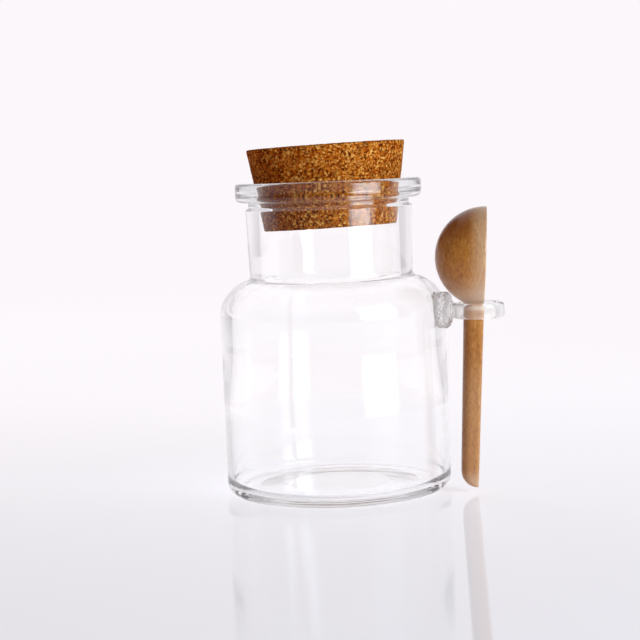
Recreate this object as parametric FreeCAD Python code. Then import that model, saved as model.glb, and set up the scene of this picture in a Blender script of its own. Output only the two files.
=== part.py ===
"""Clear glass jar with a cork stopper and a wooden spoon that hangs in a glass loop on its side.

Millimetres. The origin is the middle of the base, on the jar's axis. Z is up, and the loop stands out along +X.
"""
import os
from math import cos, pi, radians, sin, sqrt, tan

import FreeCAD
import Part

V = FreeCAD.Vector

# Jar: outside
BODY_OD = 70.0              # straight part of the body
JAR_HEIGHT = 96.5           # table to the top of the lip
HEEL_R = 4.0                # outside corner between the body and the base
SHOULDER_Z = 64.0           # height where the line of the body and the line of the shoulder would meet
SHOULDER_R = 11.0           # round from the body into the shoulder
SHOULDER_SLOPE = 15.0       # degrees that the shoulder rises towards the neck
NECK_OD = 50.4              # foot of the neck
NECK_FLARE = 0.6            # the neck is this much wider in radius at its top
NECK_FILLET = 1.6           # hollow round where the neck leaves the shoulder
LIP_OD = 57.6
LIP_HEIGHT = 5.9
LIP_TOP_R = 1.2
LIP_UNDER_R = 1.8
GROOVE_HEIGHT = 2.5         # the pinch under the lip
GROOVE_DEPTH = 0.9
GROOVE_R = 0.4

# Jar: base and inside
UPPER_WALL = 3.4            # wall of the body under the shoulder
LOWER_WALL = 1.7            # wall near the base, where the blown glass is drawn thin
THINS_BELOW = 20.0          # the wall starts to thin this far below the shoulder
THINS_OVER = 16.0           # and has done so over this height
WALL_EASE_R = 12.0          # bends at both ends of that stretch
SHOULDER_WALL = 2.0         # across the slope of the shoulder
INNER_SHOULDER_R = 9.5      # round from the wall into the shoulder, inside
INNER_NECK_R = 2.5          # round from the shoulder into the bore of the neck
FLOOR = 2.6                 # table to the inside floor
INNER_HEEL_R = 3.5
FOOT_BORE = 50.0            # inner edge of the flat ring that the jar stands on
FOOT_EDGE_R = 1.5
PUSH_UP = 0.8               # the middle of the base is raised by this much
PUSH_UP_D = 32.0
PUSH_UP_R = 6.0
MOUTH_D = 46.2              # bore at the top of the lip
MOUTH_DEPTH = 8.55          # the mouth narrows over this depth, at the cork's taper, to the bore of the neck
MOUTH_EDGE_R = 0.6

# Cork stopper
CORK_TAPER = 9.3            # degrees on each side, also the taper of the mouth
CORK_FIT = 0.30             # radial room between the cork and the mouth
CORK_HEAD = 10.9            # stands above the lip
CORK_INSERT = 14.2          # reaches below the top of the lip
CORK_EDGE_R = 0.5
CORK_TILT = 1.8             # degrees: it is pressed in a little crooked, high on the side of the loop

# Glass loop
LOOP_Z = 56.0               # middle of the ring
RING_BORE = 10.2            # upright hole for the handle
RING_WALL = 2.75
RING_HEIGHT = 4.7
RING_EDGE_R = 1.2
PAD_D = 11.2                # the round pad that is fused to the jar
PAD_THICK = 2.8
PAD_EDGE_R = 0.8
STEM_D = 4.6
STEM_LENGTH = 1.35          # face of the pad to the ring
BEAD_D = 5.8                # the bead round the stem
BEAD_WIDTH = 1.2

# Wooden spoon
BOWL_LENGTH = 30.4          # along the handle
BOWL_WIDTH = 22.0
BOWL_DEPTH = 15.2           # flat face to the back of the bowl
BOWL_WALL = 2.8
HANDLE_THICK = 6.2          # at the bowl
HANDLE_WIDTH = 6.2
TIP_THICK = 5.4             # near the end
TIP_WIDTH = 5.4
HANDLE_EDGE_R = 1.0         # corners of the flat face
SPOON_LEAN = 3.6            # degrees: the end of the handle swings in towards the jar
SPOON_TURN = 17.0           # degrees about the handle, flat face away from the jar
HANDLE_GAP = 0.35           # handle to the side of the hole nearest the jar, where it hangs
SEAT_GAP = 0.25             # bowl to ring
TIP_CLEARANCE = 1.4         # end of the handle to the table
CUT_SPARE = 1.0             # cutters reach past the wood by this much

BODY_R = BODY_OD / 2
NECK_R = NECK_OD / 2
LIP_R = LIP_OD / 2
MOUTH_R = MOUTH_D / 2
SLOPE = radians(SHOULDER_SLOPE)
TAPER = radians(CORK_TAPER)
BORE_R = MOUTH_R - MOUTH_DEPTH * tan(TAPER)
UPPER_R = BODY_R - UPPER_WALL
LOWER_R = BODY_R - LOWER_WALL
LIP_Z = JAR_HEIGHT - LIP_HEIGHT
GROOVE_Z = LIP_Z - GROOVE_HEIGHT
RING_R = RING_BORE / 2
RING_OR = RING_R + RING_WALL
PAD_X = BODY_R + PAD_THICK
RING_X = PAD_X + STEM_LENGTH + RING_OR


def rounded_outline(corners):
    """Closed wire through corners (r, z, radius) in the XZ plane, each corner rounded by a tangent arc."""
    points = [V(r, 0, z) for r, z, _ in corners]
    starts, arcs, ends = [], [], []
    for i, (_, _, radius) in enumerate(corners):
        here, before, after = points[i], points[i - 1], points[(i + 1) % len(points)]
        if radius <= 0:
            starts.append(here)
            arcs.append(None)
            ends.append(here)
            continue
        back = (before - here).normalize()
        on = (after - here).normalize()
        half = back.getAngle(on) / 2
        reach = radius / tan(half)
        middle = (back + on).normalize()
        starts.append(here + back * reach)
        ends.append(here + on * reach)
        arcs.append(here + middle * (radius / sin(half) - radius))
    edges = []
    for i in range(len(points)):
        if arcs[i] is not None:
            edges.append(Part.Arc(starts[i], arcs[i], ends[i]).toShape())
        goal = starts[(i + 1) % len(points)]
        if ends[i].distanceToPoint(goal) > 1e-6:
            edges.append(Part.LineSegment(ends[i], goal).toShape())
    return Part.Wire(edges)


def turned(corners, centre=V(0, 0, 0), axis=V(0, 0, 1)):
    """Solid of revolution of a rounded outline."""
    return Part.Face(rounded_outline(corners)).revolve(centre, axis, 360)


def shoulder_height(radius):
    """Height of the shoulder's slope at a radius, outside."""
    return SHOULDER_Z + (BODY_R - radius) * tan(SLOPE)


def outside_corners():
    """The outer line of the glass, from the middle of the base up to the mouth."""
    top_r = NECK_R + NECK_FLARE
    groove_r = top_r - GROOVE_DEPTH
    return [
        (0, PUSH_UP, 0),
        (PUSH_UP_D / 2, PUSH_UP, PUSH_UP_R),
        (FOOT_BORE / 2, 0, FOOT_EDGE_R),
        (BODY_R, 0, HEEL_R),
        (BODY_R, SHOULDER_Z, SHOULDER_R),
        (NECK_R, shoulder_height(NECK_R), NECK_FILLET),
        (top_r, GROOVE_Z, GROOVE_R),
        (groove_r, GROOVE_Z + GROOVE_DEPTH, GROOVE_R),
        (groove_r, LIP_Z, GROOVE_R),
        (LIP_R, LIP_Z, LIP_UNDER_R),
        (LIP_R, JAR_HEIGHT, LIP_TOP_R),
    ]


def inside_corners():
    """The inner line of the glass, from the mouth down to the floor.

    Both rounds of the shoulder share its slope, so the larger one gives way where a narrow jar leaves no room.
    """
    below = SHOULDER_WALL / cos(SLOPE)
    reach = tan((pi / 2 - SLOPE) / 2)
    room = (UPPER_R - BORE_R) / cos(SLOPE) / reach - INNER_NECK_R
    return [
        (MOUTH_R, JAR_HEIGHT, MOUTH_EDGE_R),
        (BORE_R, JAR_HEIGHT - MOUTH_DEPTH, 0),
        (BORE_R, shoulder_height(BORE_R) - below, INNER_NECK_R),
        (UPPER_R, shoulder_height(UPPER_R) - below, min(INNER_SHOULDER_R, 0.98 * room)),
        (UPPER_R, SHOULDER_Z - THINS_BELOW, WALL_EASE_R),
        (LOWER_R, SHOULDER_Z - THINS_BELOW - THINS_OVER, WALL_EASE_R),
        (LOWER_R, FLOOR, INNER_HEEL_R),
        (0, FLOOR, 0),
    ]


def jar_body():
    return turned(outside_corners() + inside_corners())


def jar_filled():
    """The jar's outer form without its hollow, to which the pad of the loop is shaped."""
    return turned(outside_corners() + [(0, JAR_HEIGHT, 0)])


def round_bar(low, high, radius, edge):
    """Bar along X at the height of the loop, its outer corner eased at the high end."""
    bar = turned([(low, 0, 0), (high, 0, 0), (high, radius, edge), (low, radius, 0)], axis=V(1, 0, 0))
    bar.translate(V(0, 0, LOOP_Z))
    return bar


def bead():
    """Rounded collar half way along the stem."""
    middle = PAD_X + STEM_LENGTH / 2
    low, high, soft = middle - BEAD_WIDTH / 2, middle + BEAD_WIDTH / 2, BEAD_WIDTH * 0.4
    collar = turned([(low, 0, 0), (high, 0, 0), (high, BEAD_D / 2, soft), (low, BEAD_D / 2, soft)],
                    axis=V(1, 0, 0))
    collar.translate(V(0, 0, LOOP_Z))
    return collar


def ring():
    """Band about an upright hole, rounded on all four edges."""
    low, high = LOOP_Z - RING_HEIGHT / 2, LOOP_Z + RING_HEIGHT / 2
    near, far = RING_X + RING_R, RING_X + RING_OR
    return turned([(near, low, RING_EDGE_R), (far, low, RING_EDGE_R), (far, high, RING_EDGE_R),
                   (near, high, RING_EDGE_R)], centre=V(RING_X, 0, 0))


def spoon_loop():
    """The pad takes the form of the jar's wall, and the stem runs half way into the ring's wall."""
    root = BODY_R - PAD_D / 2
    pad = round_bar(root, PAD_X, PAD_D / 2, PAD_EDGE_R).cut(jar_filled())
    stem = round_bar(BODY_R + PAD_THICK / 2, RING_X - RING_R - RING_WALL / 2, STEM_D / 2, 0)
    return pad.fuse([stem, bead(), ring()]).removeSplitter()


def cork_stopper():
    """Tapered plug. Tilting a cone moves its middle off the axis, so it is moved back into the mouth."""
    head_r = MOUTH_R - CORK_FIT + CORK_HEAD * tan(TAPER)
    end_r = MOUTH_R - CORK_FIT - CORK_INSERT * tan(TAPER)
    top, end = JAR_HEIGHT + CORK_HEAD, JAR_HEIGHT - CORK_INSERT
    cork = turned([(0, end, 0), (end_r, end, CORK_EDGE_R), (head_r, top, CORK_EDGE_R), (0, top, 0)])
    cork.rotate(V(0, 0, JAR_HEIGHT - MOUTH_DEPTH / 2), V(0, 1, 0), -CORK_TILT)
    cork.translate(V(MOUTH_R * tan(TAPER) * tan(radians(CORK_TILT)), 0, 0))
    return cork


def spoon_turn():
    """How the spoon stands: turned about its handle, then leaned so that its bowl moves away from the jar."""
    lean = FreeCAD.Rotation(V(0, 1, 0), SPOON_LEAN)
    return lean.multiply(FreeCAD.Rotation(V(0, 0, 1), SPOON_TURN))


def handle_middle():
    """Depth behind the flat face, and radius, of the smallest circle round the handle's section."""
    corner = HANDLE_WIDTH / 2 - HANDLE_EDGE_R
    depth = (HANDLE_THICK ** 2 - corner ** 2) / (2 * HANDLE_THICK)
    return depth, HANDLE_THICK - depth


def bowl_centre():
    """Middle of the bowl's flat face, lifted along the handle until the bowl just clears the ring."""
    stand = spoon_turn()
    behind, around = handle_middle()
    play = RING_R - around - HANDLE_GAP - RING_HEIGHT / 2 * tan(radians(SPOON_LEAN))
    through = V(RING_X - play, 0, LOOP_Z) + stand.multVec(V(behind, 0, 0))
    depth, width, length = BOWL_DEPTH + SEAT_GAP, BOWL_WIDTH / 2 + SEAT_GAP, BOWL_LENGTH / 2 + SEAT_GAP
    crest_r = RING_R + RING_EDGE_R
    crest_z = LOOP_Z + RING_HEIGHT / 2 - RING_EDGE_R
    back = stand.inverted()
    lift = 0.0
    for step in range(120):
        round_ring = 2 * pi * step / 120
        for climb in range(13):
            over = pi * climb / 12
            r = crest_r - RING_EDGE_R * cos(over)
            z = crest_z + RING_EDGE_R * sin(over)
            spot = back.multVec(V(RING_X + r * cos(round_ring), r * sin(round_ring), z) - through)
            room = 1 - (spot.x / depth) ** 2 - (spot.y / width) ** 2
            if spot.x < SEAT_GAP and room > 0:
                lift = max(lift, spot.z + length * sqrt(room))
    return through + stand.multVec(V(0, 0, lift))


def half_bowl(length, width, depth):
    """Half an egg behind the flat face, which is the plane x = 0."""
    half = Part.makeSphere(depth, V(0, 0, 0), V(1, 0, 0), -90, 0, 360)
    stretch = FreeCAD.Matrix()
    stretch.scale(1.0, width / 2 / depth, length / 2 / depth)
    return half.transformGeometry(stretch)


def handle_section(thick, wide, z):
    """Section of the handle: flat in front with eased corners, round at the back."""
    side, ease = wide / 2, HANDLE_EDGE_R
    bend = thick - side
    turn = ease * (1 - cos(pi / 4))
    edges = [
        Part.LineSegment(V(0, side - ease, z), V(0, ease - side, z)).toShape(),
        Part.Arc(V(0, ease - side, z), V(-turn, turn - side, z), V(-ease, -side, z)).toShape(),
        Part.LineSegment(V(-ease, -side, z), V(-bend, -side, z)).toShape(),
        Part.Arc(V(-bend, -side, z), V(-thick, 0, z), V(-bend, side, z)).toShape(),
        Part.LineSegment(V(-bend, side, z), V(-ease, side, z)).toShape(),
        Part.Arc(V(-ease, side, z), V(-turn, side - turn, z), V(0, side - ease, z)).toShape(),
    ]
    return Part.Wire(edges)


def handle(root, end):
    """Tapered handle between two heights below the bowl, its end rounded in both views."""
    bar = Part.makeLoft([handle_section(HANDLE_THICK, HANDLE_WIDTH, -root),
                         handle_section(TIP_THICK, TIP_WIDTH, -end)], True, True)
    side = rounded_outline([(CUT_SPARE, -root, 0), (CUT_SPARE, -end, 0), (0, -end, 0),
                            (-TIP_THICK, -end, TIP_THICK * 0.95), (-HANDLE_THICK - CUT_SPARE, -root, 0)])
    side_cut = Part.Face(side).extrude(V(0, HANDLE_WIDTH + 2 * CUT_SPARE, 0))
    side_cut.translate(V(0, -HANDLE_WIDTH / 2 - CUT_SPARE, 0))
    half = HANDLE_WIDTH / 2 + CUT_SPARE
    front = rounded_outline([(half, -root, 0), (TIP_WIDTH / 2, -end, TIP_WIDTH * 0.46),
                             (-TIP_WIDTH / 2, -end, TIP_WIDTH * 0.46), (-half, -root, 0)])
    front_cut = Part.Face(front).extrude(V(0, HANDLE_THICK + 2 * CUT_SPARE, 0))
    front_cut.translate(V(0, -HANDLE_THICK / 2 - CUT_SPARE, 0))
    front_cut.rotate(V(0, 0, 0), V(0, 0, 1), 90)
    front_cut.translate(V(-HANDLE_THICK / 2, 0, 0))
    return bar.common(side_cut).common(front_cut)


def wooden_spoon():
    centre = bowl_centre()
    end = (centre.z - TIP_CLEARANCE) / cos(radians(SPOON_LEAN))
    root = BOWL_LENGTH / 2 - 0.8 * BOWL_WALL
    spoon = half_bowl(BOWL_LENGTH, BOWL_WIDTH, BOWL_DEPTH).fuse(handle(root, end))
    hollow = half_bowl(BOWL_LENGTH - 2 * BOWL_WALL, BOWL_WIDTH - 2 * BOWL_WALL, BOWL_DEPTH - BOWL_WALL)
    spoon = spoon.cut(hollow).removeSplitter()
    spoon.Placement = FreeCAD.Placement(centre, spoon_turn())
    return spoon


def main():
    os.makedirs("parts", exist_ok=True)
    pieces = {
        "jar_body": jar_body(),
        "spoon_loop": spoon_loop(),
        "cork_stopper": cork_stopper(),
        "wooden_spoon": wooden_spoon(),
    }
    for name, shape in pieces.items():
        shape.exportStep("parts/" + name + ".step")
        box = shape.BoundBox
        print(name, len(shape.Solids), "solid", shape.isValid(), "volume", round(shape.Volume / 1000, 2), "ml",
              "x", round(box.XMin, 2), round(box.XMax, 2), "y", round(box.YMin, 2), round(box.YMax, 2),
              "z", round(box.ZMin, 2), round(box.ZMax, 2))
    print("middle of the ring", round(RING_X, 2), "bowl centre", bowl_centre())


main()
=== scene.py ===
# %% [markdown]
# A small storage jar of clear glass stands on a pale, slightly glossy table. A tapered cork closes it,
# and a wooden spoon hangs in a glass loop that is fused to its side. The measured CAD model comes first:
# it says where every surface lies, in metres, so nothing here has to be fitted by eye. The dressed model
# may not grow past it.

# %% Load the measured model
import math

import bmesh
import bpy
import numpy as np
from mathutils import Matrix, Vector


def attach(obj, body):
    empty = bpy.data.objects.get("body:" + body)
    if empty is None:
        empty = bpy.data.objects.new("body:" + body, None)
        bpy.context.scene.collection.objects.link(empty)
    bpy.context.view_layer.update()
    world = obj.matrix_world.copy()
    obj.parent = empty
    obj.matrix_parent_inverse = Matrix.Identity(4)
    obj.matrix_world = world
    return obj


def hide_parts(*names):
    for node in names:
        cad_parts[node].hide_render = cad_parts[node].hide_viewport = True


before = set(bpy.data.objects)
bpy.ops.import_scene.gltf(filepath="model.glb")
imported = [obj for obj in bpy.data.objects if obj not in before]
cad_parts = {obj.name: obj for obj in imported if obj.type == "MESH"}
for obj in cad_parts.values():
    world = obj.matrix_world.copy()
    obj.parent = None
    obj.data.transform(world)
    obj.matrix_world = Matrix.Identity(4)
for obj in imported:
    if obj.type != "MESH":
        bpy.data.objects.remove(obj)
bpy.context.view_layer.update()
MM = 0.001

# %% [markdown]
# The photograph was taken from a little above the jar's shoulder with a short telephoto lens, and the
# picture hangs slightly askew. Blender's camera looks along its own -Z axis, so its matrix is filled with
# three directions: right, up and backwards. Writing them out is clearer than three Euler angles, and the
# turn round the jar serves again when the lamps are set. Light runs a long way inside thick glass before it
# comes out again, so many bounces are allowed.

# %% Camera
VIEW_TURN = math.radians(21.0)
YAW, PITCH, ROLL = (math.radians(v) for v in (-0.4371, 5.3283, -2.3536))
CAMERA_BACK, CAMERA_HEIGHT = 0.537616, 0.103375
LENS_MM, SENSOR_MM, NEAREST = 97.5, 36.0, 0.01
BOUNCES, GLASS_BOUNCES = 64, 48

round_jar = Matrix.Rotation(VIEW_TURN, 3, "Z")
ahead = round_jar @ Vector((
    math.sin(YAW) * math.cos(PITCH), math.cos(YAW) * math.cos(PITCH), -math.sin(PITCH)))
sideways = round_jar @ Vector((math.cos(YAW), -math.sin(YAW), 0))
rise = sideways.cross(ahead)
right = sideways * math.cos(ROLL) + rise * math.sin(ROLL)
up = rise * math.cos(ROLL) - sideways * math.sin(ROLL)

camera = bpy.data.objects.new("photo_camera", bpy.data.cameras.new("photo_camera"))
camera.data.sensor_width = SENSOR_MM
camera.data.lens = LENS_MM
camera.data.clip_start = NEAREST
place = Matrix((right, up, -ahead)).transposed().to_4x4()
place.translation = round_jar @ Vector((0, -CAMERA_BACK, CAMERA_HEIGHT))
camera.matrix_world = place

scene = bpy.context.scene
scene.collection.objects.link(camera)
scene.camera = camera
scene.view_settings.view_transform = "Standard"
scene.cycles.max_bounces = BOUNCES
scene.cycles.glossy_bounces = GLASS_BOUNCES
scene.cycles.transmission_bounces = GLASS_BOUNCES
print("camera", round(place.translation.length, 3), "m from the foot of the jar")

# %% [markdown]
# Node trees shape the turned pieces and paint the finishes. Clicking nodes together is fine for three of
# them, but a formula reads better as a formula. This class holds one output socket, and Python's own
# operators add the Math nodes. Vectors and colours go through Vector Math, because a Math node would turn
# them grey. One method adds any other kind of node.


# %% Sums on sockets
def pick(sockets, key):
    """A socket by its place, by its identifier or else by its name."""
    if isinstance(key, int):
        return sockets[key]
    return next((s for s in sockets if s.identifier == key), None) or sockets[key]


class Wire:
    """An output socket that can be used in Python sums."""

    def __init__(self, tree, socket=None):
        self.tree, self.socket = tree, socket

    def add(self, kind, settings=None, values=None):
        node = self.tree.nodes.new(kind)
        for name, value in (settings or {}).items():
            if name == "stops":
                while len(node.color_ramp.elements) < len(value):
                    node.color_ramp.elements.new(0.5)
                for stop, (position, colour) in zip(node.color_ramp.elements, value):
                    stop.position, stop.color = position, (*colour, 1.0)
            else:
                setattr(node, name, value)
        for key, value in (values or {}).items():
            socket = pick(node.inputs, key)
            if isinstance(value, Wire):
                self.tree.links.new(value.socket, socket)
            else:
                socket.default_value = value
        return Wire(self.tree, node.outputs[0] if node.outputs else None)

    def out(self, key):
        return Wire(self.tree, pick(self.socket.node.outputs, key))

    def sum(self, operation, first, second):
        wires = [w.socket.type for w in (first, second) if isinstance(w, Wire)]
        if "VECTOR" in wires or "RGBA" in wires:
            first, second = ((v,) * 3 if isinstance(v, (int, float)) else v for v in (first, second))
            return self.add("ShaderNodeVectorMath", {"operation": operation}, {0: first, 1: second})
        return self.add("ShaderNodeMath", {"operation": operation}, {0: first, 1: second})

    def __add__(self, other): return self.sum("ADD", self, other)
    def __radd__(self, other): return self.sum("ADD", other, self)
    def __sub__(self, other): return self.sum("SUBTRACT", self, other)
    def __rsub__(self, other): return self.sum("SUBTRACT", other, self)
    def __mul__(self, other): return self.sum("MULTIPLY", self, other)
    def __rmul__(self, other): return self.sum("MULTIPLY", other, self)
    def __truediv__(self, other): return self.sum("DIVIDE", self, other)
    def __rtruediv__(self, other): return self.sum("DIVIDE", other, self)

    def of(self, operation, other=0.0):
        return self.add("ShaderNodeMath", {"operation": operation}, {0: self, 1: other})

    def ease(self, low, high):
        """0 below low, 1 above high, and a soft slope between."""
        return self.add("ShaderNodeMapRange", {"interpolation_type": "SMOOTHSTEP"},
                        {"Value": self, "From Min": low, "From Max": high})

    def between(self, rise, fall):
        """1 between two soft slopes, each given as (low, high), and 0 outside them."""
        return self.ease(*rise) * (1 - self.ease(*fall))

    def towards(self, colour, share):
        """This colour, moved towards another one by a share from 0 to 1."""
        return self.add("ShaderNodeMix", {"data_type": "RGBA"},
                        {"Factor_Float": share, "A_Color": self, "B_Color": colour}).out("Result_Color")

    def parts(self):
        split = self.add("ShaderNodeSeparateXYZ", {}, {0: self})
        return split.out(0), split.out(1), split.out(2)


print("operators ready:", "+ - * /")

# %% [markdown]
# The jar, the loop's disc and ring, and the cork are all bodies of revolution: each is one outline turned
# round an axis, as on a lathe. Blender has a Screw modifier and a Spin operator for that, but a Geometry
# Nodes tree keeps the rule in view. It lays out a grid with one row for each point of the outline and one
# column for each step round the axis, then moves every grid point to (r cos a, r sin a, z). Merging closes
# the seam and the two poles.

# %% A lathe as a node tree
def tree_with(name, inputs):
    tree = bpy.data.node_groups.new(name, "GeometryNodeTree")
    tree.interface.new_socket("Geometry", in_out="OUTPUT", socket_type="NodeSocketGeometry")
    for label, kind in inputs:
        tree.interface.new_socket(label, in_out="INPUT", socket_type="NodeSocket" + kind)
    return tree, Wire(tree).add("NodeGroupInput")


def close_tree(shape, finish):
    shape = shape.add("GeometryNodeRealizeInstances", {}, {"Geometry": shape})
    shape = shape.add("GeometryNodeSetMaterial", {}, {"Geometry": shape, "Material": finish})
    shape.add("NodeGroupOutput", {}, {0: shape})


SEAM = 1e-6
lathe, given = tree_with("turn_on_lathe", [
    ("Outline", "Geometry"), ("Steps Round", "Int"), ("Finish", "Material")])
steps = given.out("Steps Round")
size = given.add("GeometryNodeAttributeDomainSize", {}, {"Geometry": given.out("Outline")})
rows = size.out("Point Count")
grid = given.add("GeometryNodeMeshGrid", {}, {"Vertices X": rows, "Vertices Y": steps + 1})
index = given.add("GeometryNodeInputIndex")
row = ((index + 0.5) / (steps + 1)).of("FLOOR")
turn = (index - row * (steps + 1)) * (2 * math.pi) / steps
where = given.add("GeometryNodeInputPosition")
spot = given.add("GeometryNodeSampleIndex", {"data_type": "FLOAT_VECTOR", "domain": "POINT"},
                 {"Geometry": given.out("Outline"), "Value": where, "Index": row})
radius, _, height = spot.parts()
swung = given.add("ShaderNodeCombineXYZ", {}, {
    0: radius * turn.of("COSINE"), 1: radius * turn.of("SINE"), 2: height})
shell = given.add("GeometryNodeSetPosition", {}, {"Geometry": grid, "Position": swung})
shell = given.add("GeometryNodeMergeByDistance", {}, {"Geometry": shell, "Distance": SEAM})
close_tree(given.add("GeometryNodeSetShadeSmooth", {}, {"Geometry": shell}), given.out("Finish"))
print("lathe tree has", len(lathe.nodes), "nodes")

# %% [markdown]
# An outline is written as corners, each with the radius it is rounded to, in millimetres, exactly as a
# drawing would give it. Every rounded corner becomes an arc of short steps. A straight run gets a point
# close to each end, which keeps the smooth shading of the arc from bleeding over the flat wall: glass
# shows such a fault at once.


# %% Outlines from corners
LONG_RUN, NEAR_END, NO_LENGTH = 1.2, 0.2, 1e-6


def outline(corners, closed=False, turn_by=math.radians(4), longest=3.0):
    """Corners of (radius, height, rounding) in millimetres, worked out to a line of points."""
    points, count = [], len(corners)
    for i, (r, z, ease) in enumerate(corners):
        here = Vector((r, z))
        if not ease:
            points.append(here)
            continue
        back = (Vector(corners[i - 1][:2]) - here).normalized()
        on = (Vector(corners[(i + 1) % count][:2]) - here).normalized()
        half = back.angle(on) / 2
        middle = here + (back + on).normalized() * ease / math.sin(half)
        first = here + back * ease / math.tan(half) - middle
        last = here + on * ease / math.tan(half) - middle
        sweep = math.pi - 2 * half
        pieces = max(3, math.ceil(sweep / turn_by))
        for k in range(pieces + 1):
            a = sweep * k / pieces
            points.append(middle + (first * math.sin(sweep - a) + last * math.sin(a)) / math.sin(sweep))
    if closed:
        points.append(points[0])
    fine = [points[0]]
    for a, b in zip(points, points[1:]):
        run = (b - a).length
        if run > LONG_RUN:
            even = np.linspace(0, 1, math.ceil(run / longest) + 1)[1:-1]
            marks = sorted([NEAR_END / run, *even, 1 - NEAR_END / run])
            fine += [a.lerp(b, t) for t in marks]
        if run > NO_LENGTH:
            fine.append(b)
    return fine


rounded = outline([(0, 0, 0), (10, 0, 2), (10, 10, 2), (0, 10, 0)])
print("outline of a 10 mm square with two corners rounded to 2 mm:", len(rounded), "points")

# %% [markdown]
# Every piece goes the same way from an outline to a plain mesh. The points become a mesh without faces, a
# Nodes modifier grows the piece from them, and what the modifier shows is baked into a mesh of its own.
# Baking keeps the scene simple: nothing that is handed on depends on a modifier. Last of all the faces
# are turned outwards, because glass has to know which side is air.


# %% From a tree to a mesh
def bare_mesh(name, points, faces=()):
    mesh = bpy.data.meshes.new(name)
    mesh.from_pydata([tuple(p) for p in points], [], list(faces))
    return mesh


def in_scene(name, mesh):
    piece = bpy.data.objects.new(name, mesh)
    scene.collection.objects.link(piece)
    return piece


def baked(piece, finish):
    """The piece with its modifiers worked in, as a plain mesh of one finish; the piece itself goes."""
    graph = bpy.context.evaluated_depsgraph_get()
    mesh = bpy.data.meshes.new_from_object(piece.evaluated_get(graph), depsgraph=graph)
    bpy.data.objects.remove(piece)
    mesh.materials.clear()
    mesh.materials.append(finish)
    mesh.polygons.foreach_set("material_index", [0] * len(mesh.polygons))
    return mesh


def grown(name, mesh, tree, sizes):
    """The mesh put through a node tree; sizes holds what the tree's inputs are set to."""
    piece = in_scene(name, mesh)
    modifier = piece.modifiers.new("grow", "NODES")
    modifier.node_group = tree
    for item in tree.interface.items_tree:
        if item.in_out == "INPUT" and item.name in sizes:
            modifier[item.identifier] = sizes[item.name]
    return baked(piece, sizes["Finish"])


def faces_out(mesh):
    bm = bmesh.new()
    bm.from_mesh(mesh)
    bmesh.ops.recalc_face_normals(bm, faces=bm.faces)
    bm.to_mesh(mesh)
    bm.free()
    return mesh


def turned(name, points, steps_round, finish):
    """A piece turned from an outline of (radius, height) in millimetres."""
    line = bare_mesh(name, [(r * MM, 0, z * MM) for r, z in points])
    return faces_out(grown(name, line, lathe, {"Steps Round": steps_round, "Finish": finish}))


print("steps ready:", [step.__name__ for step in (bare_mesh, in_scene, grown, baked, faces_out, turned)])

# %% [markdown]
# Clear glass has no colour of its own in a thin wall, but light that runs along the wall travels through
# centimetres of it, and that is why the rims and edges of a jar look grey. A Volume Absorption node gives
# exactly that. The Principled shader does the surface: full transmission, an index of 1.5, and a slow
# waviness left by the mould. Where the shoulder turns into the neck the hot glass was drawn in, and its
# skin is more uneven there. The loop's glass is drawn by hand, so it is a little cloudy with fine bubbles,
# and the grooves between the pebbles of its disc get a painted grey shade.

# %% Clear glass
PEBBLE = 0.85 * MM
NECK_ROOT = ((0.0600, 0.0640), (0.0660, 0.0690))
DISC_ENDS = (0.0382, 0.0386)
# GROOVE_SHADE_TONE is the grey of the painted shade in the disc's grooves.
GLASS_TONE, GROOVE_SHADE_TONE = (0.992, 0.994, 0.994, 1.0), (0.20, 0.21, 0.21, 1.0)
MELT_TONE, MELT_DENSITY, INDEX = (0.40, 0.42, 0.42, 1.0), 3.5, 1.5
MOULD_WAVE, DRAWN_WAVE = 0.00010, 0.00022


def new_finish(name):
    material = bpy.data.materials.new(name)
    material.use_nodes = True
    material.node_tree.nodes.clear()
    return material, Wire(material.node_tree)


def noise(at, scale, detail=2.0, roughness=0.5):
    return at.add("ShaderNodeTexNoise", {}, {
        "Vector": at, "Scale": scale, "Detail": detail, "Roughness": roughness})


def cells(at, scale, feature="F1"):
    return at.add("ShaderNodeTexVoronoi", {"feature": feature}, {"Vector": at, "Scale": scale})


def glass(name, clearness, groove_shade_share):
    """Glass of one melt: the share of light that passes, and how strongly painted shade greys the grooves.
    """
    material, start = new_finish(name)
    at = start.add("ShaderNodeTexCoord").out("Object")
    x, _, z = at.parts()
    uneven = noise(at, 130.0, 1.0).out(0) * z.between(*NECK_ROOT) * DRAWN_WAVE
    height = noise(at, 38.0, 1.0).out(0) * MOULD_WAVE + uneven
    dents = start.add("ShaderNodeBump", {}, {"Strength": 1.0, "Distance": 1.0, "Height": height})
    on_disc = 1 - x.ease(*DISC_ENDS)
    # Painted shade: the grooves between the disc's pebbles are tinted grey.
    painted_groove_shade = cells(at, 1.0 / PEBBLE).ease(0.45, 0.72) * on_disc * groove_shade_share
    tone = start.add("ShaderNodeRGB")
    tone.socket.default_value = GLASS_TONE
    smears = noise(at, 120.0, 3.0).ease(0.52, 0.78)
    body = start.add("ShaderNodeBsdfPrincipled", {}, {
        "Base Color": tone.towards(GROOVE_SHADE_TONE, painted_groove_shade), "Roughness": smears * 0.02, "IOR": INDEX,
        "Transmission Weight": clearness, "Normal": dents})
    inside = start.add("ShaderNodeVolumeAbsorption", {}, {"Color": MELT_TONE, "Density": MELT_DENSITY})
    start.add("ShaderNodeOutputMaterial", {}, {"Surface": body, "Volume": inside})
    print(name, "has", len(material.node_tree.nodes), "nodes")
    return material


clear_glass = glass("clear_glass", 1.0, 0.0)
loop_glass = glass("loop_glass", 0.88, 0.45)

# %% [markdown]
# The jar's outline runs from the middle of the hollow foot, out over the heel, up the wall, round the
# shoulder, up the neck and over the lip, then down the inside to the floor. Both surfaces are needed:
# light bends four times on its way through a jar, and a single skin would look like a soap bubble.

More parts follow.
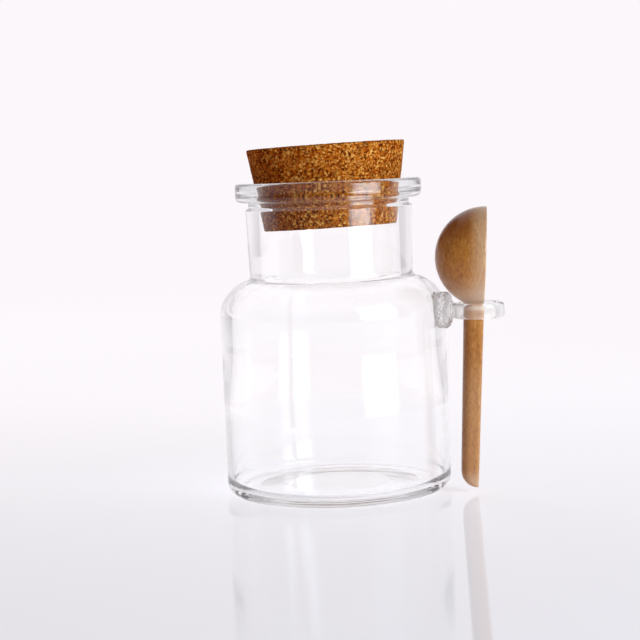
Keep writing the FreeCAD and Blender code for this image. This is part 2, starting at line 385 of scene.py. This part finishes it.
# %% The jar, turned
JAR_STEPS = 264
WALL_R, SHOULDER_Z, SHOULDER_ROUND = 35, 64.0, 11
FOOT = [(0, 0.8, 0), (16, 0.8, 6), (25, 0, 1.5), (WALL_R, 0, 4)]
SHOULDER_AND_NECK = [
    (WALL_R, SHOULDER_Z, SHOULDER_ROUND), (25.2, 66.626, 1.6), (25.8, 88.1, 0.4), (24.9, 89.0, 0.4)]
LIP = [(24.9, 90.6, 0.4), (28.8, 90.6, 1.8), (28.8, 96.5, 1.2), (23.1, 96.5, 0.6)]
INSIDE = [
    (21.7, 87.95, 0), (21.7, 65.493, 2.5), (31.6, 62.841, 9.5), (31.6, 44, 60), (33.3, 28, 60),
    (33.3, 2.6, 3.5), (0, 2.6, 0)]
jar_outline = outline(FOOT + SHOULDER_AND_NECK + LIP + INSIDE)
jar_mesh = turned("glass_jar", jar_outline, JAR_STEPS, clear_glass)
print("jar", len(jar_mesh.vertices), "points")

# %% [markdown]
# The loop's disc is a field of small pebbles, as a patterned tool leaves them in soft glass. A bump would
# only change how light leaves the surface, but these pebbles also show in its outline, so they are real
# relief. The tree sinks the grooves between Voronoi cells, on the disc alone and never outwards. The glass
# finish paints a grey shade into the same grooves.

# %% Pebbled skin as a node tree
PEBBLE_DEPTH = 0.17 * MM
DISC_SPAN = ((0.0350, 0.0356), (0.03782, 0.03795))
pebbled, given = tree_with("press_pebbles", [
    ("Piece", "Geometry"), ("Pebble Size", "Float"), ("Depth", "Float"), ("Finish", "Material")])
where = given.add("GeometryNodeInputPosition")
from_axis, _, _ = where.parts()
groove = cells(where, 1.0 / given.out("Pebble Size")).ease(0.10, 0.65)
sink = groove * from_axis.between(*DISC_SPAN) * given.out("Depth")
inwards = given.add("GeometryNodeInputNormal") * (0 - sink)
skin = given.add("GeometryNodeSetPosition", {}, {"Geometry": given.out("Piece"), "Offset": inwards})
close_tree(skin, given.out("Finish"))
print("pebble tree has", len(pebbled.nodes), "nodes")

# %% [markdown]
# The loop is drawn from hot glass: a flat disc pressed on the wall, a short stem with a bead of melted
# glass round it, and a ring for the spoon's handle. Disc, bead and stem share one axis, so they are one
# turned piece lying on its side, and the pebbles are pressed into it before anything is joined. All sizes
# are in millimetres, measured from the jar's axis along the stem.

# %% The loop's parts, turned
LOOP_Z, RING_X = 56.0 * MM, 47.0 * MM
DISC_R, DISC_BACK, DISC_FACE, STEM_R, STEM_END = 5.6, 32.5, 37.8, 2.3, 40.6
BEAD_R, BEAD_FROM, BEAD_TO, BEAD_ROUND = 2.9, 38.1, 38.85, 0.25
RING_IN, RING_OUT, RING_HALF, RING_ROUND = 5.1, 7.85, 2.35, 1.2
AIR_FILM = 0.03
STEM_STEPS, RING_STEPS, FORM_STEPS = 352, 128, 448

disc_outline = outline(
    [(DISC_R, DISC_BACK, 0), (DISC_R, DISC_FACE, 0.8), (STEM_R, DISC_FACE, 0.12), (STEM_R, 37.95, 0)],
    turn_by=math.radians(7), longest=0.1)
bead_outline = outline([
    (BEAD_R, BEAD_FROM, BEAD_ROUND), (BEAD_R, BEAD_TO, BEAD_ROUND), (STEM_R, 39.0, 0),
    (STEM_R, STEM_END, 0), (0, STEM_END, 0)])
stem_outline = [(0, DISC_BACK), *disc_outline, *bead_outline]
stem_mesh = turned("loop_stem", stem_outline, STEM_STEPS, loop_glass)
on_its_side = Matrix.Rotation(math.radians(90), 4, "Y")
stem_mesh.transform(Matrix.Translation((0, 0, LOOP_Z)) @ on_its_side)
stem_mesh = grown("loop_stem", stem_mesh, pebbled, {
    "Pebble Size": PEBBLE, "Depth": PEBBLE_DEPTH, "Finish": loop_glass})

ring_corners = [
    (RING_IN, -RING_HALF), (RING_OUT, -RING_HALF), (RING_OUT, RING_HALF), (RING_IN, RING_HALF)]
ring_outline = outline([(r, z, RING_ROUND) for r, z in ring_corners], closed=True)
ring_mesh = turned("loop_ring", ring_outline, RING_STEPS, loop_glass)
ring_mesh.transform(Matrix.Translation((RING_X, 0, LOOP_Z)))

form_outline = outline([
    (0, 30, 0), (WALL_R + AIR_FILM, 30, 0), (WALL_R + AIR_FILM, SHOULDER_Z + AIR_FILM, SHOULDER_ROUND),
    (20, 68.02, 0), (0, 68.02, 0)])
form_mesh = turned("jar_form", form_outline, FORM_STEPS, loop_glass)
print("stem, ring and form:", [len(mesh.polygons) for mesh in (stem_mesh, ring_mesh, form_mesh)], "faces")

# %% [markdown]
# A Boolean union melts the stem to the ring, and a Boolean difference with the jar's outer form gives the
# disc its hollow back. That form is turned a hair too large: with a film of air between them, light passes
# from disc to wall as it does at the real, not quite perfect joint. Booleans leave long many-sided faces
# and slivers, so those are cut into triangles or dissolved. Glass casts no shadow here: Cycles would make
# that shadow nearly black, since light bent by glass finds a lamp only by chance.


# %% The loop, melted together and fitted to the wall
def joined(name, finish, first, others):
    """first, melted to or cut by each of the others in turn."""
    piece, guests = in_scene(name, first), []
    for operation, mesh in others:
        guests.append(in_scene(name + "_part", mesh))
        step = piece.modifiers.new(operation.lower(), "BOOLEAN")
        step.operation, step.solver, step.object = operation, "EXACT", guests[-1]
    mesh = baked(piece, finish)
    for guest in guests:
        bpy.data.objects.remove(guest)
    bm = bmesh.new()
    bm.from_mesh(mesh)
    bmesh.ops.triangulate(bm, faces=[face for face in bm.faces if len(face.verts) > 4])
    bmesh.ops.dissolve_degenerate(bm, dist=SEAM, edges=bm.edges)
    bm.to_mesh(mesh)
    bm.free()
    return mesh


SHARP = math.radians(38)
others = [("UNION", ring_mesh), ("DIFFERENCE", form_mesh)]
loop_mesh = joined("glass_loop", loop_glass, stem_mesh, others)
glass_loop, glass_jar = in_scene("glass_loop", loop_mesh), in_scene("glass_jar", jar_mesh)
for piece, node in ((glass_jar, "jar_body"), (glass_loop, "spoon_loop")):
    piece.data.set_sharp_from_angle(angle=SHARP)
    piece.visible_shadow = False
    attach(piece, "jar")
    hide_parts(node)
    print(piece.name, len(piece.data.polygons), "faces")

# %% [markdown]
# The stopper is pressed from cork crumbs. Each crumb has its own shade of brown, the joints between them
# are dark, and here and there a crumb has fallen out. Voronoi cells are just such a packing. The tree
# below takes the turned plug and sinks its skin: a little for each crumb, more along the joints and most
# in the pits, never outwards, so that the plug still fits its neck. The finish reads the same cells, and
# so colour and relief belong together.

# %% Cork crumbs as a node tree
CRUMB = 0.72 * MM
PIT_SHARE = 0.13
GRIT_DEPTH = 0.06 * MM
crumble, given = tree_with("press_cork", [
    ("Plug", "Geometry"), ("Crumb Size", "Float"), ("Step Depth", "Float"), ("Joint Depth", "Float"),
    ("Pit Depth", "Float"), ("Pit Share", "Float"), ("Finish", "Material")])
where = given.add("GeometryNodeInputPosition")
fineness = 1.0 / given.out("Crumb Size")
chance, luck, _ = cells(where, fineness).out("Color").parts()
to_joint = cells(where, fineness, "DISTANCE_TO_EDGE")
pit = luck.of("LESS_THAN", given.out("Pit Share")) * to_joint.ease(0.02, 0.25)
sink = chance * given.out("Step Depth") + (1 - to_joint.ease(0.0, 0.16)) * given.out("Joint Depth")
grit = noise(where, 2600.0, 1.0).out(0).ease(0.35, 0.8)
sink = sink + pit * given.out("Pit Depth") + grit * GRIT_DEPTH
inwards = given.add("GeometryNodeInputNormal") * (0 - sink)
skin = given.add("GeometryNodeSetPosition", {}, {"Geometry": given.out("Plug"), "Offset": inwards})
close_tree(skin, given.out("Finish"))
print("cork tree has", len(crumble.nodes), "nodes")

# %% [markdown]
# The cork's colour has three scales: crumbs, grit that is a little finer than they are, and dark specks of
# bark. The joints and pits of the relief are painted darker, as dirt and shade collect there. The ring of
# cork inside the jar's lip gets a painted shade, since the glass casts no shadow on it here. The surface is
# matt.

# %% Cork finish
CORK_RAMP = [
    (0.0, (0.12, 0.014, 0.0005)), (0.30, (0.37, 0.074, 0.003)), (0.62, (0.60, 0.192, 0.014)),
    (1.0, (0.90, 0.54, 0.15))]
DARK_CORK = (0.048, 0.008, 0.001, 1.0)
LIP_SPAN = ((0.0880, 0.0905), (0.0955, 0.0970))
cork, start = new_finish("pressed_cork")
at = start.add("ShaderNodeTexCoord").out("Object")
chance, luck, mood = cells(at, 1.0 / CRUMB).out("Color").parts()
to_joint = cells(at, 1.0 / CRUMB, "DISTANCE_TO_EDGE")
grit, _, _ = cells(at, 2000.0).out("Color").parts()
shade = chance * 0.52 + grit * 0.62 + noise(at, 1500.0, 2.0).out(0) * 0.40 - 0.27
tone = start.add("ShaderNodeValToRGB", {"stops": CORK_RAMP}, {"Fac": shade})
bark = noise(at, 1350.0, 2.0, 0.6).out(0).ease(0.57, 0.66)
joint = (1 - to_joint.ease(0.0, 0.12)) * mood * 0.8
pit = luck.of("LESS_THAN", PIT_SHARE) * to_joint.ease(0.0, 0.2) * 0.85
dark = joint.of("MAXIMUM", pit).of("MAXIMUM", bark * 0.90)
_, _, z = at.parts()
# Painted shade on the ring of cork inside the jar's lip.
painted_lip_shade = z.between(*LIP_SPAN) * 0.22
colour = tone.towards(DARK_CORK, dark.of("MAXIMUM", painted_lip_shade))
relief = grit * 0.00005 + noise(at, 4200.0, 2.0).out(0) * 0.00007 - bark * 0.00008
skin = start.add("ShaderNodeBump", {}, {"Strength": 0.9, "Distance": 1.0, "Height": relief})
matt = start.add("ShaderNodeBsdfPrincipled", {}, {
    "Base Color": colour, "Roughness": 0.70 + dark * 0.2, "Specular IOR Level": 0.05, "Normal": skin})
start.add("ShaderNodeOutputMaterial", {}, {"Surface": matt})
print("pressed_cork has", len(cork.node_tree.nodes), "nodes")

# %% [markdown]
# The plug is turned from a fine outline, because the crumbs need points to move: about one every third of
# a millimetre. It sits askew in the neck by a degree or two, as corks do once they have been pushed in by
# hand.

# %% The cork, turned, tilted and crumbled
CORK_END, CORK_TOP, CORK_END_R, CORK_TOP_R, CORK_ROUND = 82.3, 107.4, 20.475, 24.585, 0.5
CORK_STEPS, CORK_GRID = 430, 0.36
TILT, TILT_Z, ASIDE = math.radians(-1.8), 92.225 * MM, 0.119 * MM

plug_outline = outline([
    (0, CORK_END, 0), (CORK_END_R, CORK_END, CORK_ROUND), (CORK_TOP_R, CORK_TOP, CORK_ROUND),
    (0, CORK_TOP, 0)], turn_by=math.radians(25), longest=CORK_GRID)
plug = turned("cork_plug", plug_outline, CORK_STEPS, cork)
pivot, aside = Matrix.Translation((0, 0, TILT_Z)), Matrix.Translation((ASIDE, 0, 0))
plug.transform(aside @ pivot @ Matrix.Rotation(TILT, 4, "Y") @ pivot.inverted())
cork_mesh = grown("cork_plug", plug, crumble, {
    "Crumb Size": CRUMB, "Step Depth": 0.00011, "Joint Depth": 0.00010, "Pit Depth": 0.00035,
    "Pit Share": PIT_SHARE, "Finish": cork})
cork_plug = in_scene("cork_plug", faces_out(cork_mesh))
print("cork", len(cork_mesh.polygons), "faces")

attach(cork_plug, "cork")
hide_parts("cork_stopper")

# %% [markdown]
# The spoon is one piece of wood: half an egg, hollowed, on a handle that is flat in front and round
# behind. Its own frame is handy to build in: the flat face is the plane x = 0, and the handle runs down -Z.
# Bowl and handle are made as closed meshes that overlap, in rows of points round the egg and down the
# handle, as a lathe and a plane would leave them. A voxel remesh melts them together later, and a smooth
# rounds the edges by a fraction of a millimetre, which is what sandpaper does to the real one.

# %% The bowl
BOWL_L, BOWL_W, BOWL_D, BOWL_WALL = 30.4, 22.0, 15.2, 2.8
POLE, RIM = 0.02, math.pi / 2


def ring_faces(rows, around):
    """Faces between rows of points, each row closed on itself, and a lid on both ends."""
    quads = []
    for i in range(rows - 1):
        low, high = i * around, (i + 1) * around
        for j in range(around):
            k = (j + 1) % around
            quads.append((low + j, low + k, high + k, high + j))
    last = (rows - 1) * around
    return quads + [tuple(range(around - 1, -1, -1)), tuple(last + j for j in range(around))]


def bowl_points(around=144):
    inner = [half - BOWL_WALL for half in (BOWL_L / 2, BOWL_W / 2, BOWL_D)]
    slices = [(BOWL_L / 2, BOWL_W / 2, BOWL_D, a) for a in np.linspace(POLE, RIM, 40)]
    slices += [(*inner, a) for a in np.linspace(RIM, POLE, 36)]
    points = []
    for tall, wide, deep, a in slices:
        for j in range(around):
            b = 2 * math.pi * j / around
            points.append((
                -deep * math.cos(a), wide * math.sin(a) * math.cos(b), tall * math.sin(a) * math.sin(b)))
    return points, ring_faces(len(slices), around)


bowl = faces_out(bare_mesh("bowl", *bowl_points()))
print("bowl:", len(bowl.polygons), "faces")

# %% [markdown]
# The handle tapers towards its end. Each row of its points is one cross-section: two small rounded corners
# at the flat face and a half round behind. Over the last few millimetres thickness and width run out on
# two arcs, which gives the rounded tip that a spoon maker leaves with a rasp.

# %% The handle
HANDLE_ROOT, HANDLE_END, TAPER_START = 11.0, 70.61, 12.96
ROOT_SIZE, TAPER = 6.2, 0.8
TIP_LENGTH, TIP_ROUND, SIDE_ROUND = 5.2, 5.13, 2.484
TIP_THICK, TIP_WIDE = 0.27, 0.44
CORNER_ROUND, CORNER_STEPS, BACK_STEPS = 1.0, 7, 25


def cross_section(thick, wide):
    half, ease = wide / 2, min(CORNER_ROUND, wide / 4, thick / 4)
    back = max(thick - half, ease + 0.01)
    loop = [(-ease + ease * math.sin(a), -half + ease - ease * math.cos(a))
            for a in np.linspace(math.pi / 2, 0, CORNER_STEPS)]
    loop += [(-back - (thick - back) * math.sin(a), -half * math.cos(a))
             for a in np.linspace(0, math.pi, BACK_STEPS)]
    loop += [(-ease + ease * math.sin(a), half - ease + ease * math.cos(a))
             for a in np.linspace(0, math.pi / 2, CORNER_STEPS)]
    return loop


def handle_points():
    points, around = [], 2 * CORNER_STEPS + BACK_STEPS
    straight = np.linspace(HANDLE_ROOT, HANDLE_END - TIP_LENGTH, 60)
    tip = HANDLE_END - TIP_LENGTH * np.cos(np.linspace(0, math.pi / 2, 24))[1:]
    for d in [*straight, *tip]:
        t = (d - TAPER_START) / (HANDLE_END - TAPER_START)
        thick = wide = ROOT_SIZE - TAPER * t
        past, side = d - (HANDLE_END - TIP_ROUND), d - (HANDLE_END - SIDE_ROUND)
        if past > 0:
            thick = min(thick, TIP_THICK + math.sqrt(max(TIP_ROUND ** 2 - past ** 2, 0.0)))
        if side > 0:
            wide = min(wide, TIP_WIDE + 2 * math.sqrt(max(SIDE_ROUND ** 2 - side ** 2, 0.0)))
        points += [(px, py, -d) for px, py in cross_section(thick, wide)]
    return points, ring_faces(len(points) // around, around)


handle = faces_out(bare_mesh("handle", *handle_points()))
print("handle:", len(handle.polygons), "faces")

# %% [markdown]
# Wood is a bundle of fibres laid in yearly layers. Here the layers cross the bowl at a slant, so its round
# back cuts them in ovals, with a thin pale line where one year ends. Along the handle the same layers show
# as long streaks. Four patterns are mixed: the layers, slow cloudy tone, a fine mottle, and pores drawn out
# along the fibre. The handle is a little darker than the bowl, and paler lower down and at its end. Light
# and shade are painted in as well: a painted shade on the upper back of the bowl, and painted light along
# its rim by the flat face and low on the bowl. A Mapping node turns the pattern into the spoon's own frame,
# as the spoon leans in its loop.

# %% Spoon wood
BOWL_MIDDLE = Vector((49.482, 0.802, 71.876)) * MM
LEAN, TURN = math.radians(3.6), math.radians(17)
YEAR, FIRST_YEAR = 6.5 * MM, 1.177
WOOD_RAMP = [(0.0, (0.33, 0.108, 0.013)), (0.5, (0.59, 0.260, 0.046)), (1.0, (0.80, 0.48, 0.145))]
# PALE_AND_LIT_WOOD is the colour of the painted light on the bowl, and of the paler handle.
DARK_WOOD, PALE_AND_LIT_WOOD = (0.25, 0.070, 0.010, 1.0), (0.70, 0.53, 0.38, 1.0)
stand = Matrix.Rotation(LEAN, 4, "Y") @ Matrix.Rotation(TURN, 4, "Z")
unstand = stand.to_3x3().transposed()

spoon_wood, start = new_finish("spoon_wood")
at = start.add("ShaderNodeTexCoord").out("Object")
own = start.add("ShaderNodeMapping", {"vector_type": "POINT"}, {
    "Vector": at, "Rotation": unstand.to_euler(), "Location": -(unstand @ BOWL_MIDDLE)})
x, y, z = own.parts()
along = own * (1.0, 1.0, 0.045)
drift = noise(own * (1.0, 1.0, 0.35), 90.0, 2.0).out(0) - 0.5
layer = x * -0.77 + y * -0.64 + drift * 0.0010
year = (layer / YEAR - FIRST_YEAR).of("FRACT")
line = (1 - year.ease(0.0, 0.030)) + year.ease(0.985, 1.0)
late = year.between((0.10, 0.45), (0.60, 0.95))
cloud = noise(own * (1.0, 1.0, 0.25), 140.0, 3.0).out(0)
fibre = noise(along, 2300.0, 3.0, 0.6).out(0)
pore = noise(along * (1.0, 1.0, 1.6), 3600.0, 2.0, 0.5).out(0).ease(0.60, 0.72)
mottle = noise(own * (1.0, 1.0, 0.45), 1500.0, 2.0, 0.65).out(0)
shade = cloud * 0.6 + fibre * 0.40 + mottle * 0.75 - 0.42
tone = start.add("ShaderNodeValToRGB", {"stops": WOOD_RAMP}, {"Fac": shade})
colour = tone.towards((0.36, 0.125, 0.030, 1.0), late * 0.22)
colour = colour.towards((0.80, 0.58, 0.34, 1.0), line * 0.60)
dark = (pore * 0.40).of("MAXIMUM", (1 - mottle.ease(0.32, 0.45)) * 0.45)
colour = colour.towards(DARK_WOOD, dark)
colour = colour.towards((0.74, 0.50, 0.24, 1.0), mottle.ease(0.58, 0.70) * 0.22)
# Painted shade: the upper back of the bowl is darkened, where less light falls from above.
painted_top_shade = z.ease(0.003, 0.010) * (1 - x.ease(-0.006, -0.002))
colour = colour.towards((0.30, 0.080, 0.008, 1.0), painted_top_shade * 0.80)
in_bowl = z.ease(-0.0165, -0.0145)
colour = colour.towards(DARK_WOOD, (1 - in_bowl) * 0.20)
# Painted light on the bowl's rim by the flat face and low on the bowl; the handle is also paler lower down
# and at its end.
painted_light_and_pale_end = x.ease(-0.0060, -0.001) * in_bowl * 0.48 + (1 - z.ease(-0.0145, -0.004)) * in_bowl * 0.85
painted_light_and_pale_end = painted_light_and_pale_end + (1 - z.ease(-0.042, -0.026)) * 0.16 + (1 - z.ease(-0.069, -0.064)) * 0.50
colour = colour.towards(PALE_AND_LIT_WOOD, painted_light_and_pale_end)
# Painted light: the bottom of the bowl is lightened further, as if lit by the bright table below.
colour = colour.towards((0.92, 0.78, 0.64, 1.0), (1 - z.ease(-0.0145, -0.0085)) * in_bowl * 0.55)
relief = fibre * 0.00003 - pore * 0.00006
grain = start.add("ShaderNodeBump", {}, {"Strength": 0.8, "Distance": 1.0, "Height": relief})
satin = start.add("ShaderNodeBsdfPrincipled", {}, {
    "Base Color": colour, "Roughness": 0.38 + pore * 0.2 + cloud * 0.10, "Specular IOR Level": 0.20,
    "Coat Weight": 0.80, "Coat Roughness": 0.22, "Sheen Weight": 0.20, "Sheen Roughness": 0.30,
    "Normal": grain})
start.add("ShaderNodeOutputMaterial", {}, {"Surface": satin})
print("spoon_wood has", len(spoon_wood.node_tree.nodes), "nodes")

# %% [markdown]
# Bowl and handle come from one blank, so no seam may show where they meet. The Remesh modifier rebuilds
# both as one skin of quarter millimetre voxels, and the Smooth modifier takes the steps off it again. The
# finished spoon is then stood in its place: it leans outwards a little and is turned in the loop.

# %% The spoon, melted together and sanded
VOXEL_MM, SAND_PASSES = 0.24, 10
blank = bpy.data.meshes.new("spoon_blank")
bm = bmesh.new()
for part in (bowl, handle):
    bm.from_mesh(part)
bm.to_mesh(blank)
bm.free()
spoon_blank = in_scene("wood_spoon", blank)
melt = spoon_blank.modifiers.new("melt", "REMESH")
melt.mode, melt.voxel_size, melt.use_smooth_shade = "VOXEL", VOXEL_MM, True
sand = spoon_blank.modifiers.new("sand", "SMOOTH")
sand.factor, sand.iterations = 0.5, SAND_PASSES
spoon_mesh = baked(spoon_blank, spoon_wood)
spoon_mesh.transform(Matrix.Translation(BOWL_MIDDLE) @ stand @ Matrix.Scale(MM, 4))
wood_spoon = in_scene("wood_spoon", spoon_mesh)
print("spoon", len(spoon_mesh.polygons), "faces")

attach(wood_spoon, "spoon")
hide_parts("wooden_spoon")

# %% [markdown]
# A studio is built from large pale cards, and a photographer places them so that glass shows clean edges.
# Here table and backdrop shine by themselves, and the Light Path node says for whom. A ray from the eye, a
# mirror image and a view through the glass each get their own level. Light that has already bounced off
# wood or cork keeps to a plain, warm one, as it fills the shaded sides in a real room. A ray that has
# crossed more than three glass surfaces is deep inside the jar, where dark corners don't reach.

# %% Which light is which
BACKDROP, FILL = (0.972, 0.932, 0.962, 1.0), (1.0, 0.62, 0.40, 1.0)
AMBIENT = 0.25
TO_CAMERA = round_jar @ Vector((0, -1, 0))
TO_RIGHT = round_jar @ Vector((1, 0, 0))


def ray_kinds(start):
    """From the eye, by a mirror image, clean through glass; then: has been in glass, and deep in it."""
    path = start.add("ShaderNodeLightPath")
    unspent = path.out("Diffuse Depth").of("LESS_THAN", 0.5)
    mirrored = path.out("Glossy Depth").of("GREATER_THAN", 0.5) * unspent
    through = path.out("Is Transmission Ray") * unspent * (1 - mirrored)
    crossed = path.out("Transmission Depth")
    been_in, deep = crossed.of("GREATER_THAN", 0.5), crossed.of("GREATER_THAN", 3.5)
    return path.out("Is Camera Ray"), mirrored, through, been_in, deep


def tint(direct):
    """The backdrop's own tone where it is seen, and a warmer one for light that fills shaded sides."""
    return direct.add("ShaderNodeMix", {"data_type": "RGBA"}, {
        "Factor_Float": direct, "A_Color": FILL, "B_Color": BACKDROP}).out("Result_Color")


def ahead_of(at, way):
    return at.add("ShaderNodeVectorMath", {"operation": "DOT_PRODUCT"}, {0: at, 1: tuple(way)}).out("Value")


print("backdrop", BACKDROP[:3], "fill", FILL[:3], "ambient", AMBIENT)

# %% [markdown]
# The table is one large pale sheet, lit from within like a light table, with a weak, nearly sharp
# reflection. Close to the jar it takes shadows; far away it fades into the tone of the backdrop, so there
# is no horizon. Mirror images of its near side and its left and right ends are dimmer, because those parts
# reflect a room and not the lit backdrop. It lies a hair under the jar, so that no two faces coincide.

# %% Table
TABLE_HALF, TABLE_Z = 5, -0.00003
TABLE_TONE, GLOSS = (0.595, 0.622, 0.675, 1.0), 0.19
table_top, start = new_finish("table_top")
at = start.add("ShaderNodeTexCoord").out("Object")
away = at.add("ShaderNodeVectorMath", {"operation": "LENGTH"}, {0: at}).out("Value")
eye, image, through, been_in_glass, deep = ray_kinds(start)
direct = eye + image + through
nearer = ahead_of(at, TO_CAMERA)
beside = ahead_of(at, TO_RIGHT) / away

lit = start.add("ShaderNodeBsdfDiffuse", {}, {"Color": TABLE_TONE})
mirror = start.add("ShaderNodeBsdfGlossy", {}, {"Color": (1.0, 1.0, 1.0, 1.0), "Roughness": 0.06})
near = start.add("ShaderNodeMixShader", {}, {0: GLOSS, 1: lit, 2: mirror})
shade = image * been_in_glass * (0 - beside).ease(0.02, 0.40) * (1 - away.ease(0.16, 0.40)) * 0.14
inner_light = 0.44 + direct * (0.20 - 0.24 * nearer.ease(-0.25, 0.26))
inner_light = inner_light + through * 0.075 + image * deep * 0.10 - shade
lift = start.add("ShaderNodeEmission", {}, {"Color": tint(direct), "Strength": inner_light})
near = start.add("ShaderNodeAddShader", {}, {0: near, 1: lift})

at_left = (0 - beside).ease(0.10, 0.90) * (1 - away.ease(0.9, 1.5)) * 0.60
at_right = beside.ease(0.35, 0.65) * 0.40
dim = nearer.ease(0.10, 0.40).of("MAXIMUM", at_left).of("MAXIMUM", at_right)
outer_light = AMBIENT + direct * (1 - AMBIENT) + through * 0.11 + image * deep * 0.14
outer_light = outer_light - image * dim * (0.90 - 0.80 * deep)
far = start.add("ShaderNodeEmission", {}, {"Color": tint(direct), "Strength": outer_light})
sheet = start.add("ShaderNodeMixShader", {}, {0: away.ease(0.20, 0.9), 1: near, 2: far})
start.add("ShaderNodeOutputMaterial", {}, {"Surface": sheet})

signs = ((-1, -1), (1, -1), (1, 1), (-1, 1))
corners = [(px * TABLE_HALF, py * TABLE_HALF, TABLE_Z) for px, py in signs]
table_mesh = bare_mesh("table", corners, [(0, 1, 2, 3)])
table_mesh.materials.append(table_top)
table = in_scene("table", table_mesh)
print("table of", 2 * TABLE_HALF, "m, its finish has", len(table_top.node_tree.nodes), "nodes")

# %% [markdown]
# The backdrop is white behind the jar, and the room is dim on the camera's side: that is why the cork shows
# through the front of the glass without a veil. The dark edges of the jar are the dim sides of the room,
# bent in by the glass. All of it is one World shader, painted by direction.

# %% Backdrop
ROOM, THROUGH_LEVEL = 0.08, 1.16
world = bpy.data.worlds.new("studio")
scene.world = world
world.use_nodes = True
world.node_tree.nodes.clear()
start = Wire(world.node_tree)
towards = start.add("ShaderNodeTexCoord").out("Generated")
_, _, height = towards.parts()
behind = 0 - ahead_of(towards, TO_CAMERA)
beside = ahead_of(towards, TO_RIGHT)
sides = (1 - 0.28 * (0 - beside).ease(0.10, 0.90)) * (1 - 0.25 * beside.ease(0.35, 0.65))
eye, image, through, been_in_glass, deep = ray_kinds(start)
overhead = height.ease(0.22, 0.45) * been_in_glass * 0.9
screen = behind.ease(-0.35, 0.45).of("MAXIMUM", overhead) * sides
room = ROOM + deep * 0.50
level = AMBIENT * (1 - 0.75 * height.ease(0.25, 0.80))
level = level + image * (room + (1 - room) * screen - level)
level = level + through * (THROUGH_LEVEL - level)
level = level + eye * (1 - level)
glow = start.add("ShaderNodeBackground", {}, {"Color": tint(eye + image + through), "Strength": level})
start.add("ShaderNodeOutputWorld", {}, {"Surface": glow})
print("backdrop has", len(world.node_tree.nodes), "nodes")

# %% [markdown]
# A large soft lamp stands to the right of the camera. It makes the right side of the cork lighter than the
# left, and it is the pale upright band in the neck. A second, weaker one behind and to the left outlines
# the far side. Their size matters more than their power: glass shows every lamp as a shape. A soft box is
# brightest in its middle, so each lamp fades towards its edges, by its own coordinates from 0 to 1. Two
# more rules use the Light Path. An image of the lamp that was mirrored twice is dimmed. And because glass
# casts no shadow here, lamp light already reaches cork and wood straight through it, so the share that
# arrives bent by the glass counts less.

# %% Soft lamps
AIM = Vector((0, 0, 0.07))
LAMP_TONE = (0.89, 1.02, 1.12)
TWICE_CUT, COUNTED_CUT = 0.85, 0.55


def soft_lamp(name, degrees_right, climb, distance, wide, tall, radiance, shines=True):
    a, e = math.radians(degrees_right), math.radians(climb)
    flat = TO_CAMERA * math.cos(a) + TO_RIGHT * math.sin(a)
    way = flat * math.cos(e) + Vector((0, 0, math.sin(e)))
    data = bpy.data.lights.new(name, "AREA")
    data.shape, data.size, data.size_y = "RECTANGLE", wide, tall
    data.energy = radiance * math.pi * wide * tall
    data.color = LAMP_TONE
    data.use_nodes = True
    data.node_tree.nodes.clear()
    start = Wire(data.node_tree)
    u, v, _ = start.add("ShaderNodeNewGeometry").out("Parametric").parts()
    fade = (u * (1 - u) * 4).ease(0.0, 0.8) * (v * (1 - v) * 4).ease(0.0, 0.6)
    path = start.add("ShaderNodeLightPath")
    mirrors, crossed = path.out("Glossy Depth"), path.out("Transmission Depth")
    twice = mirrors.of("GREATER_THAN", 1.5) * crossed.of("LESS_THAN", 4.5)
    by_glass = (mirrors + crossed).of("GREATER_THAN", 0.5)
    counted = path.out("Diffuse Depth").of("GREATER_THAN", 0.5) * by_glass
    strength = fade * (1 - twice * TWICE_CUT) * (1 - counted * COUNTED_CUT)
    glow = start.add("ShaderNodeEmission", {}, {"Strength": strength})
    start.add("ShaderNodeOutputLight", {}, {"Surface": glow})
    lamp = bpy.data.objects.new(name, data)
    lamp.location = AIM + way * distance
    lamp.rotation_euler = way.to_track_quat("Z", "Y").to_euler()
    lamp.visible_camera = False
    lamp.visible_glossy = lamp.visible_transmission = shines
    scene.collection.objects.link(lamp)
    print(name, "at", [round(v, 2) for v in lamp.location], "m,", round(data.energy, 1), "W")


soft_lamp("key_lamp", 48, 13, 0.90, 0.70, 0.62, 8.4)
soft_lamp("back_lamp", 205, 25, 1.10, 0.70, 0.70, 2.2, shines=False)
